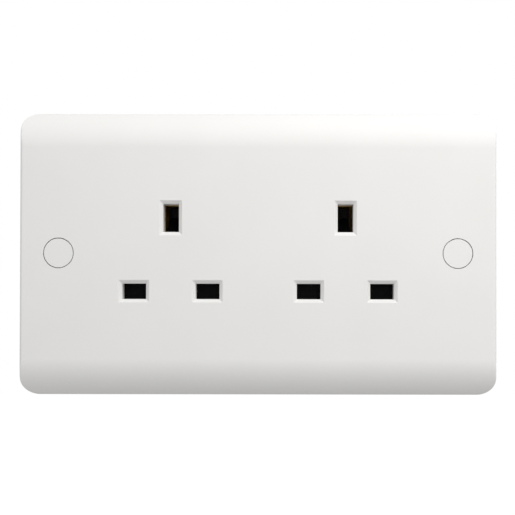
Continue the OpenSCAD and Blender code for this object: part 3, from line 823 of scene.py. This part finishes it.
def cross_arm(x, z, half_x, half_z):
    arm = block("cross", (x - half_x, CROSS_Y, z - half_z), (x + half_x, 17, z + half_z))
    edit(arm)
    pick(arm, "faces", lambda face: face.normal.y < -0.9)
    bottom = (x * MM, CROSS_Y * MM, z * MM)
    bpy.ops.transform.resize(value=(0.72, 1, 0.72), center_override=bottom)
    begin()
    return arm


for (x, z), word in zip(PILLARS, ("upper", "lower", "left", "right")):
    steps = [(-3, 0.35), (-2, COARSE_ROOT), (12, COARSE_ROOT), (12.4, 1.45), (14, 1.45), (14, 2.7)]
    steps += [(15.1, 2.7), (15.6, 2.58), (15.95, 2.2), (16.1, 1.7)]
    arms = [cross_arm(x, z, ARM_L, ARM_T), cross_arm(x, z, ARM_T, ARM_L)]
    coarse = (-2, 12, COARSE_ROOT, COARSE_OUTER, COARSE_PITCH)
    screw(f"joining_screw_{word}", x, z, steps, arms, coarse, f"assembly_screw_{word}")

# %% [markdown]
# ## Finishes for the construction's own pieces
#
# The other pieces keep their construction shapes. A Weld joins their loose triangles, a planar
# Decimate turns them back into whole faces, and a narrow Bevel breaks the edges. The clip of the
# earth strap is rounded most, because its edges show in the earth apertures. The line and neutral
# strips have folds too fine for a bevel and keep their edges.

# %% Construction pieces
FINISH_OF = {
    "rear_housing": (black_moulding, 0.2),
    "shutter_left": (black_shutter, 0.35),
    "shutter_right": (black_shutter, 0.35),
    "line_bar": (brass_strip, 0),
    "neutral_bar": (brass_strip, 0),
    "earth_strap": (brass_strip, 0.28),
    "line_terminal": (brass_block, 0.15),
    "neutral_terminal": (brass_block, 0.15),
    "earth_terminal_left": (brass_block, 0.15),
    "earth_terminal_right": (brass_block, 0.15),
    "shutter_spring_left": (spring_wire, 0),
    "shutter_spring_right": (spring_wire, 0),
}
for name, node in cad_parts.items():
    material, edge = FINISH_OF.get(name, (plated_steel, 0.08))
    node.data.materials.clear()
    node.data.materials.append(material)
    if edge:
        weld = node.modifiers.new("weld", "WELD")
        weld.merge_threshold = 0.001 * MM
        plain = node.modifiers.new("plain faces", "DECIMATE")
        plain.decimate_type = "DISSOLVE"
        plain.angle_limit = math.radians(0.5)
        bevel = node.modifiers.new("soft edges", "BEVEL")
        bevel.width = edge * MM
        bevel.segments = 2
        bevel.limit_method = "ANGLE"
        bevel.angle_limit = math.radians(35)
print("Construction pieces finished:", len(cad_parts))

# %% [markdown]
# ## Floor, background and lamps
#
# The photograph shows the socket on pure white, lit by a broad soft lamp above and to the right.
# The world and the floor look white to the camera and to reflections, through Light Path, while
# the light that they give is much lower, so the plate keeps its shading. The floor lies well
# below.

# %% Stage
begin()
FLOOR_Z = -0.45
bpy.ops.mesh.primitive_plane_add(size=12, location=(0, 0, FLOOR_Z))
floor = bpy.context.object
floor.name = "floor"
ground = Finish("pale floor")
matt = ground.node("ShaderNodeBsdfDiffuse", {}, {"Color": (0.72, 0.72, 0.72, 1)})
bright = ground.node("ShaderNodeEmission", {}, {"Color": (1, 1, 1, 1), "Strength": 1.1})
path = ground.tree.nodes.new("ShaderNodeLightPath")
seen = sum(
    (Flow(ground, path.outputs[name]) for name in ("Is Glossy Ray", "Is Transmission Ray")),
    Flow(ground, path.outputs["Is Camera Ray"]),
)
shown = ground.node("ShaderNodeMixShader", {}, {0: seen * 0.9, 1: matt, 2: bright})
ground.node("ShaderNodeOutputMaterial", {}, {"Surface": shown})
floor.data.materials.append(ground.material)
print("The floor is at z", FLOOR_Z, "m")

# %% World and lamps
WARM_WHITE = (1, 0.995, 0.985)
world = bpy.data.worlds.new("studio")
scene.world = world
world.use_nodes = True
nodes, links = world.node_tree.nodes, world.node_tree.links
nodes.clear()
path = nodes.new("ShaderNodeLightPath")
first = nodes.new("ShaderNodeMath")
second = nodes.new("ShaderNodeMath")
for ray, socket in (("Is Camera Ray", first.inputs[0]), ("Is Glossy Ray", first.inputs[1])):
    links.new(path.outputs[ray], socket)
links.new(first.outputs[0], second.inputs[0])
links.new(path.outputs["Is Transmission Ray"], second.inputs[1])
dim = nodes.new("ShaderNodeBackground")
dim.inputs["Color"].default_value = (*WARM_WHITE, 1)
dim.inputs["Strength"].default_value = 0.68
plain_white = nodes.new("ShaderNodeBackground")
plain_white.inputs["Color"].default_value = (1, 1, 1, 1)
mix = nodes.new("ShaderNodeMixShader")
links.new(second.outputs[0], mix.inputs[0])
links.new(dim.outputs[0], mix.inputs[1])
links.new(plain_white.outputs[0], mix.inputs[2])
links.new(mix.outputs[0], nodes.new("ShaderNodeOutputWorld").inputs["Surface"])


def soft_lamp(name, place, size, power, colour):
    begin()
    bpy.ops.object.light_add(type="AREA", location=place)
    lamp = bpy.context.object
    lamp.name = name
    lamp.data.size = size
    lamp.data.energy = power
    lamp.data.color = colour
    lamp.rotation_euler = (-Vector(place)).to_track_quat("-Z", "Y").to_euler()
    lamp.visible_camera = False
    return lamp


soft_lamp("key", (0.12, -0.21, 0.2), 0.36, 0.77, WARM_WHITE)

# %% View settings
scene.view_settings.view_transform = "Standard"
